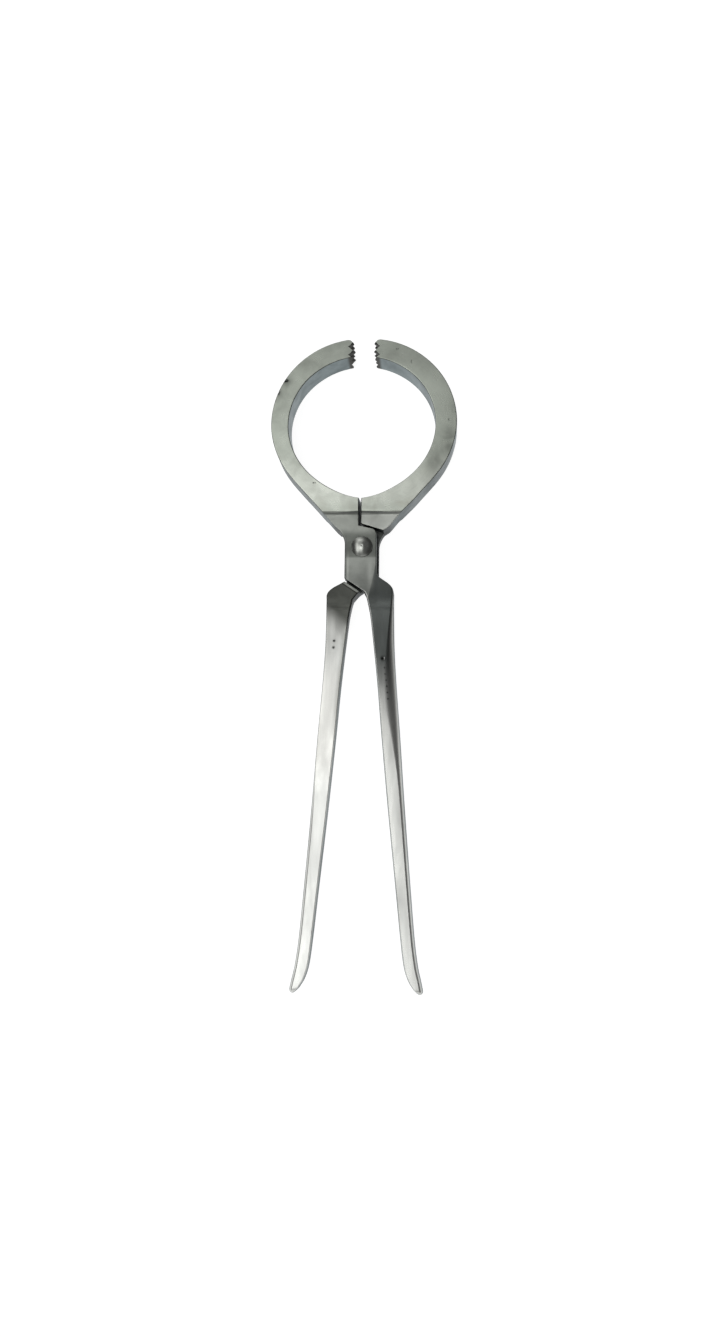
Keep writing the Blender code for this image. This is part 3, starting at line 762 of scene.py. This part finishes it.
def front_colours(n, face, joint, flat, x, y, left):
    """What the front half's faces add to the ring's colour: boss, shoulder and handle, with painted
    highlights and dark reflections.
    """
    face = n.mix(joint, face, n.mix(n.step(y, 3.0, 11.0), BOSS_STEEL, BOSS_TOP_STEEL))
    face = n.mix(n.math("MULTIPLY", joint, n.step(y, -9.0, -18.0, 0.0, 0.6)), face, BOSS_FOOT_STEEL)
    # a painted dark reflection in a band across the boss, round the rivet
    boss_dark_band = n.math("MULTIPLY", n.step(y, 11.5, 6.0), n.step(y, -7.2, -5.6))
    face = n.mix(n.math("MULTIPLY", boss_dark_band, 0.85), face, BOSS_BAND_DARK_REFLECTION_STEEL)
    # painted dark reflection on the shoulder and down the top of the handle
    edge = n.math("ADD", 6.95, n.math("MULTIPLY", n.math("ADD", y, 16.0), 0.22))
    shoulder = n.math("MULTIPLY", n.step(y, -104.0, -60.0), n.step(n.math("SUBTRACT", x, edge), -0.4, 0.4))
    shoulder = n.math("MULTIPLY", shoulder, n.step(flat, 0.85, 0.99, 0.2, 1.0))
    face = n.mix(shoulder, face, FRONT_SHOULDER_DARK_REFLECTION_STEEL)
    # painted highlight on faces turned to the left: the inner edge of the handle and the left side of the
    # boss
    left_facing_highlight = n.math("MULTIPLY", n.step(left, -0.12, -0.3), n.step(y, -20.0, -28.0))
    face = n.mix(left_facing_highlight, face, LEFT_FACING_HIGHLIGHT_STEEL)
    # painted highlight streaks on the boss
    streak_highlight = n.math("ADD", n.blob(x, y, 5.0, -16.5, 1.7, 7.0, 0.55),
                    n.blob(x, y, -8.1, -14.0, 0.6, 8.0, 0.40))
    face = n.mix(streak_highlight, face, STREAK_HIGHLIGHT_STEEL)
    # painted dark reflection along the boss's left edge
    rim = n.math("MULTIPLY", n.step(x, -8.7, -9.1), n.math("MULTIPLY", joint, n.step(y, 8.0, 4.0, 0.0, 0.7)))
    face = n.mix(rim, face, BOSS_RIM_DARK_REFLECTION_STEEL)
    # painted highlight, brighter down the handle towards its end
    return n.mix(n.step(y, -80.0, -150.0, 0.0, 0.8), face, FRONT_HANDLE_HIGHLIGHT_STEEL)


def rear_colours(n, face, joint, x, y, z):
    """What the rear half's faces add to the ring's colour: lap, shoulder, its lip and the handle."""
    face = n.mix(joint, face, REAR_JOINT_STEEL)
    # painted dark reflection on the shoulder
    along = n.math("ADD", y, n.math("MULTIPLY", n.math("ADD", x, 12.0), 0.8))
    shoulder = n.math("MULTIPLY", n.step(along, -56.0, -38.0), n.step(y, -14.0, -18.0))
    face = n.mix(shoulder, face, REAR_SHOULDER_DARK_REFLECTION_STEEL)
    # painted shade on the lower land beside the boss, and on the shoulder a painted highlight on its lip
    # above a painted shadow line
    lap = n.math("MULTIPLY", n.step(z, 9.0, 8.4), n.math("MULTIPLY", joint, n.step(x, -12.0, -9.0)))
    face = n.mix(lap, face, LAP_SHADE_STEEL)
    across = n.math("ADD", n.math("MULTIPLY", x, BOSS_EDGE[0]), n.math("MULTIPLY", y, BOSS_EDGE[1]))
    below_boss = n.step(y, -10.0, -14.0)
    raised = n.step(z, 8.6, 9.0)
    lip_highlight = n.math("MULTIPLY", n.step(across, 24.2, 23.7), n.math("MULTIPLY", raised, below_boss))
    lip_shadow_line = n.math("MULTIPLY", n.step(across, 25.0, 24.4), n.math("SUBTRACT", below_boss, lip_highlight))
    face = n.mix(n.math("MULTIPLY", lip_shadow_line, raised), face, LIP_SHADOW_LINE_STEEL)
    face = n.mix(lip_highlight, face, LIP_HIGHLIGHT_STEEL)
    # painted highlight down the handle, brightest along its middle
    face = n.mix(n.step(y, -50.0, -75.0, 0.0, 0.8), face, REAR_HANDLE_HIGHLIGHT_STEEL)
    handle_middle_highlight = n.math("MULTIPLY", n.step(y, -60.0, -85.0), n.step(y, -148.0, -118.0))
    face = n.mix(handle_middle_highlight, face, HANDLE_MIDDLE_HIGHLIGHT_STEEL)
    # painted shade along the handle's inner border, darker than the middle of its face
    inward = n.math("ADD", x, n.math("SUBTRACT", 3.1, n.math("MULTIPLY", y, 0.1)))
    inner_border_shade = n.math("MULTIPLY", n.step(inward, -3.6, -1.0),
                    n.math("MULTIPLY", n.step(y, -114.0, -92.0), n.step(y, -44.0, -52.0)))
    return n.mix(n.math("MULTIPLY", inner_border_shade, 0.75), face, INNER_BORDER_SHADE_STEEL)


def stains(n, x, y, hand, marks, smudge, z):
    """How much of the face's light is left after its stains, a painted reflection on the rear half's ring and
    the darkening in its pits.
    """
    dark = None
    for stain in STAINS[hand]:
        blot = n.blob(x, y, *stain)
        dark = blot if dark is None else n.math("ADD", dark, blot)
    # the painted reflection lightens part of the rear half's ring
    if hand < 0:
        dark = n.math("SUBTRACT", dark, n.blob(x, y, *REAR_REFLECTION_PATCH))
    dark = n.math("MULTIPLY", dark, n.step(smudge, 0.3, 0.6, 0.6, 1.3))
    left = n.math("SUBTRACT", 1.0, dark)
    # the face is darker in and round each pit
    for mark_x, mark_y, _, radii in marks:
        pit_darkening = n.blob(x, y, mark_x, mark_y, radii[0] * PIT_DARKNESS_SPREAD, radii[1] * PIT_DARKNESS_SPREAD, PIT_DARKNESS)
        pit_darkening = n.math("MULTIPLY", pit_darkening, n.step(z, 8.0, 9.0))
        left = n.math("MULTIPLY", left, n.math("SUBTRACT", 1.0, pit_darkening))
    return left


def wall_colour(n, smudge, radius, y):
    """The side walls: a painted reflection, darker and cooler than the ground faces, with more painted shade
    on the ring's outer walls low down and in the crotch.
    """
    wall = n.scale_colour(WALL_REFLECTION_STEEL, n.step(smudge, 0.3, 0.75, 1.12, 0.85))
    outer_wall_shade = n.math("MULTIPLY", n.step(radius, 47.0, 50.0), n.step(y, 70.0, 50.0))
    wall = n.scale_colour(wall, n.step(outer_wall_shade, 0.0, 1.0, 1.0, 0.66))
    crotch_shade = n.math("MULTIPLY", n.step(y, 17.0, 10.0), n.step(y, -75.0, -45.0))
    return n.scale_colour(wall, n.step(crotch_shade, 0.0, 1.0, 1.0, 0.3))


def tip_mask(n, flat, across_normal, x, y):
    """Where the steel is a tooth's flank, or the bore's wall just behind the teeth."""
    across = n.math("ABSOLUTE", x)
    flank = n.math("MULTIPLY", n.step(across, 10.8, 10.2),
                   n.step(n.math("ABSOLUTE", across_normal), 0.25, 0.35))
    behind = n.math("MULTIPLY", n.step(across, 10.6, 8.4), n.step(y, 119.0, 117.0))
    flank = n.math("MAXIMUM", flank, behind)
    return n.math("MULTIPLY", n.math("MULTIPLY", flank, n.step(y, 111.5, 112.5)), n.step(flat, 0.97, 0.90))


def bump(n, height, strength, distance, under=None):
    """A bump of the shading normal, its distance in millimetres, on top of another."""
    node = n.add("ShaderNodeBump")
    node.inputs["Strength"].default_value = strength
    node.inputs["Distance"].default_value = distance * MM
    n.put(node.inputs["Height"], height)
    if under is not None:
        n.put(node.inputs["Normal"], under)
    return node.outputs[0]


def half_steel(name, hand, marks):
    """Ground and handled steel of one half, with painted highlights, painted dark reflections and painted
    shade.
    """
    material, n, shader, place, (x, y, z), normal = steel_nodes(name)
    flat = n.math("ABSOLUTE", normal[2])
    from_ring = n.math("SUBTRACT", y, RING_CENTRE_Y)
    radius = n.math("SQRT", n.math("ADD", n.math("MULTIPLY", x, x), n.math("MULTIPLY", from_ring, from_ring)))
    angle = n.math("ARCTAN2", from_ring, x)
    brush, on_ring, on_handle = brushing(n, radius, angle, (x, y, z))
    drawn = n.vector(x, n.math("MULTIPLY", y, n.step(on_handle, 0.0, 1.0, 1.0, 0.22)), z)
    smudge = n.noise(drawn, 0.085, 4.0, 0.55, 0.4)
    patch = n.noise(drawn, 0.028, 3.0, 0.5)
    grain = n.noise(place, 1.6, 4.0, 0.6)

    # Colour of the ground faces along the tool.
    face = n.mix(on_ring, HANDLE_STEEL, RING_STEEL)
    warm = n.math("MULTIPLY", n.step(smudge, 0.45, 0.7),
                  n.math("ADD", n.blob(x, y, -22.0, 34.0, 16.0, 12.0, 0.8),
                         n.blob(x, y, 22.0, 34.0, 16.0, 12.0, 0.9)))
    face = n.mix(warm, face, YELLOWED_STEEL)
    base = n.math("MULTIPLY", n.step(y, 62.0, 36.0), n.step(y, 19.0, 33.0, 0.15, 1.0))
    face = n.mix(n.math("MULTIPLY", base, on_ring), face, RING_BASE_STEEL)
    face = n.mix(n.step(y, 100.0, 125.0, 0.0, 0.5), face, JAW_TOP_STEEL)
    # painted shade along the step where the ring's face drops to the joint face
    step_line_shade = n.math("MULTIPLY", n.step(y, 18.8, 19.8), n.step(y, 21.5, 20.8))
    joint = n.math("MULTIPLY", n.step(y, 21.5, 19.8), n.step(y, -34.0, -27.0))
    if hand > 0:
        face = front_colours(n, face, joint, flat, x, y, normal[0])
    else:
        face = rear_colours(n, face, joint, x, y, z)

    # Smudges, patches, brushing and the finest grain.
    tone = n.math("ADD", n.step(smudge, 0.3, 0.75, 1.08, 0.86), n.step(patch, 0.35, 0.7, 0.06, -0.10))
    tone = n.math("ADD", tone, n.math("MULTIPLY", n.math("SUBTRACT", brush, 0.5), 0.16))
    tone = n.math("ADD", tone, n.math("MULTIPLY", n.math("SUBTRACT", grain, 0.5), 0.10))
    tone = n.math("MULTIPLY", tone, stains(n, x, y, hand, marks, smudge, z))
    face = n.scale_colour(face, n.math("MULTIPLY", tone, n.step(step_line_shade, 0.0, 1.0, 1.0, 0.42)))

    # Walls and the dark line along the ring's edges as painted dark reflections, then painted shade on the
    # teeth and in the crevices.
    colour = n.mix(n.step(flat, 0.15, 0.75), wall_colour(n, smudge, radius, y), face)
    # painted dark reflection on the tilted faces along the ring's edges
    rim = n.math("MULTIPLY", n.math("MULTIPLY", n.step(flat, 0.25, 0.45), n.step(flat, 0.97, 0.90)), on_ring)
    colour = n.mix(n.math("MULTIPLY", rim, 0.8), colour, RING_RIM_DARK_REFLECTION_STEEL)
    # painted shade on the tooth flanks and on the bore's wall just behind the teeth
    tip = tip_mask(n, flat, normal[0], x, y)
    colour = n.mix(tip, colour, TOOTH_SHADE_STEEL)
    # painted shade in seams and hollows, from ambient occlusion
    crevice_shade = n.add("ShaderNodeAmbientOcclusion", samples=4)
    crevice_shade.inputs["Distance"].default_value = CREVICE_SHADE_REACH * MM
    colour = n.scale_colour(colour, n.step(crevice_shade.outputs["AO"], 0.1, 0.75, 0.35, 1.0))
    n.put(shader.inputs["Base Color"], colour)

    rough = n.math("ADD", n.step(smudge, 0.3, 0.7, 0.26, 0.38), n.math("MULTIPLY", joint, 0.06))
    rough = n.math("ADD", rough, n.math("MULTIPLY", n.math("SUBTRACT", brush, 0.5), 0.10))
    rough = n.math("ADD", rough, n.step(flat, 0.7, 0.2, 0.0, 0.12))
    rough = n.math("ADD", rough, n.math("MULTIPLY", tip, 0.2))
    n.put(shader.inputs["Roughness"], rough)

    fine = bump(n, n.math("ADD", brush, n.math("MULTIPLY", grain, 0.5)), 0.35, 0.02)
    wave = bump(n, n.math("ADD", smudge, n.math("MULTIPLY", patch, 1.5)), 0.5, 0.04, fine)
    n.put(shader.inputs["Normal"], wave)
    return material


def rivet_steel():
    """Polished steel, its head lighter in the middle and a painted dark reflection round its rim."""
    material, n, shader, place, (x, y, _), _ = steel_nodes("rivet_polished_dark_rim")
    smudge = n.noise(place, 0.35, 4.0, 0.6, 0.5)
    grain = n.noise(place, 2.2, 4.0, 0.6)
    tone = n.math("ADD", n.step(smudge, 0.3, 0.7, 1.1, 0.8),
                  n.math("MULTIPLY", n.math("SUBTRACT", grain, 0.5), 0.2))
    from_axis = n.math("SQRT", n.math("ADD", n.math("MULTIPLY", x, x), n.math("MULTIPLY", y, y)))
    # painted dark reflection round the rim of the head
    tone = n.math("MULTIPLY", tone, n.step(from_axis, 3.2, 5.2, 1.0, 0.48))
    n.put(shader.inputs["Base Color"], n.scale_colour(RIVET_STEEL, tone))
    n.put(shader.inputs["Roughness"], n.step(smudge, 0.3, 0.7, 0.13, 0.22))
    n.put(shader.inputs["Normal"],
          bump(n, n.math("ADD", smudge, n.math("MULTIPLY", grain, 0.15)), 0.5, 0.05))
    return material


front.data.materials.clear()
front.data.materials.append(
    half_steel("front_half_ground_steel", 1, (*FRONT_NICKS, FRONT_PUNCH, *FRONT_DOTS)))
rear.data.materials.clear()
rear.data.materials.append(half_steel("rear_half_ground_steel", -1, REAR_DOTS))
rivet.data.materials.append(rivet_steel())

for piece, node, body in ((front, "front_half", "front_body"), (rear, "rear_half", "rear_body"),
                          (rivet, "pivot_rivet", "rear_body")):
    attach(piece, body)
    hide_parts(node)


# ---------------------------------------------------------------- floor, light, camera

FLOOR_HALF_SIZE = 6.0
FLOOR_Z = -0.0005
PAPER_GREY = 0.30
PAPER_GLOW = 0.93

floor_mesh = bpy.data.meshes.new("floor")
floor_builder = bmesh.new()
bmesh.ops.create_grid(floor_builder, x_segments=1, y_segments=1, size=FLOOR_HALF_SIZE)
floor_builder.to_mesh(floor_mesh)
floor_builder.free()
floor = bpy.data.objects.new("floor", floor_mesh)
floor.location = (0.0, 0.0, FLOOR_Z)
bpy.context.scene.collection.objects.link(floor)
paper = bpy.data.materials.new("white_paper")
paper.use_nodes = True
paper_shader = paper.node_tree.nodes["Principled BSDF"]
paper_shader.inputs["Base Color"].default_value = (PAPER_GREY, PAPER_GREY, PAPER_GREY, 1.0)
paper_shader.inputs["Roughness"].default_value = 0.9
paper_shader.inputs["Specular IOR Level"].default_value = 0.0
paper_shader.inputs["Emission Color"].default_value = (1.0, 1.0, 1.0, 1.0)
paper_shader.inputs["Emission Strength"].default_value = PAPER_GLOW
floor_mesh.materials.append(paper)

# Soft boxes in the sky, by the X and Y of their direction: (x, y, radius x, radius y, power).
OVERHEAD_WIDE = (-0.13, -0.02, 0.34, 0.42, 1.40)
OVERHEAD_CORE = (-0.09, 0.0, 0.22, 0.17, 0.7)
LEFT_WINDOW = (-0.54, -0.05, 0.15, 0.60, 1.35)
BACK_WINDOW = (-0.30, 0.88, 0.32, 0.22, 1.1)
FRONT_WINDOW = (0.0, -0.88, 0.60, 0.25, 0.8)
SIDE_GLOW = 0.35
ROOM_GLOW = 0.13
FLOOR_BOUNCE = 0.5

world = bpy.data.worlds.new("studio")
bpy.context.scene.world = world
world.use_nodes = True
w = Nodes(world.node_tree)
background = world.node_tree.nodes["Background"]
sky = w.add("ShaderNodeTexCoord")
direction = w.add("ShaderNodeSeparateXYZ")
w.put(direction.inputs[0], sky.outputs["Generated"])
dx, dy, dz = direction.outputs
overhead = w.math("ADD", w.blob(dx, dy, *OVERHEAD_WIDE), w.blob(dx, dy, *OVERHEAD_CORE))
overhead = w.math("MULTIPLY", overhead, w.step(dx, 0.20, -0.15))
window = w.math("ADD", w.blob(dx, dy, *LEFT_WINDOW), w.blob(dx, dy, *BACK_WINDOW))
low = w.math("ADD", w.blob(dx, dy, *FRONT_WINDOW), w.step(w.math("ABSOLUTE", dx), 0.88, 0.99, 0.0, SIDE_GLOW))
light = w.math("ADD", w.math("ADD", overhead, window), w.math("ADD", low, ROOM_GLOW))
upper = w.step(dz, 0.0, 0.12)
light = w.math("MULTIPLY", light, upper)
light = w.math("ADD", light, w.math("MULTIPLY", w.math("SUBTRACT", 1.0, upper), FLOOR_BOUNCE))
# the room beyond the floor's edge looks as white as the floor
seen = w.add("ShaderNodeLightPath").outputs["Is Camera Ray"]
light = w.math("ADD", w.math("MULTIPLY", light, w.math("SUBTRACT", 1.0, seen)), seen)
w.put(background.inputs["Color"], w.vector(light, light, light))
background.inputs["Strength"].default_value = 1.0

SENSOR_HEIGHT = 36.0
LENS = 30.7
CAMERA_FROM_RIVET = (46.9, -179.2, 639.16 + THICKNESS)
LOOK = Vector((-0.06903, 0.16492, -0.98389)).normalized()
CAMERA_UP = Vector((0.0006, 0.98625, 0.16528))

camera_data = bpy.data.cameras.new("camera")
camera = bpy.data.objects.new("camera", camera_data)
bpy.context.scene.collection.objects.link(camera)
camera_data.sensor_fit = "VERTICAL"
camera_data.sensor_height = SENSOR_HEIGHT
camera_data.lens = LENS
camera_data.clip_start = 0.01
right = LOOK.cross(CAMERA_UP).normalized()
up = right.cross(LOOK)
rotation = Matrix((right, up, -LOOK)).transposed().to_4x4()
camera.matrix_world = Matrix.Translation(
    (RIVET.x + CAMERA_FROM_RIVET[0] * MM, RIVET.y + CAMERA_FROM_RIVET[1] * MM,
     CAMERA_FROM_RIVET[2] * MM)) @ rotation
bpy.context.scene.camera = camera
bpy.context.scene.view_settings.view_transform = "Standard"
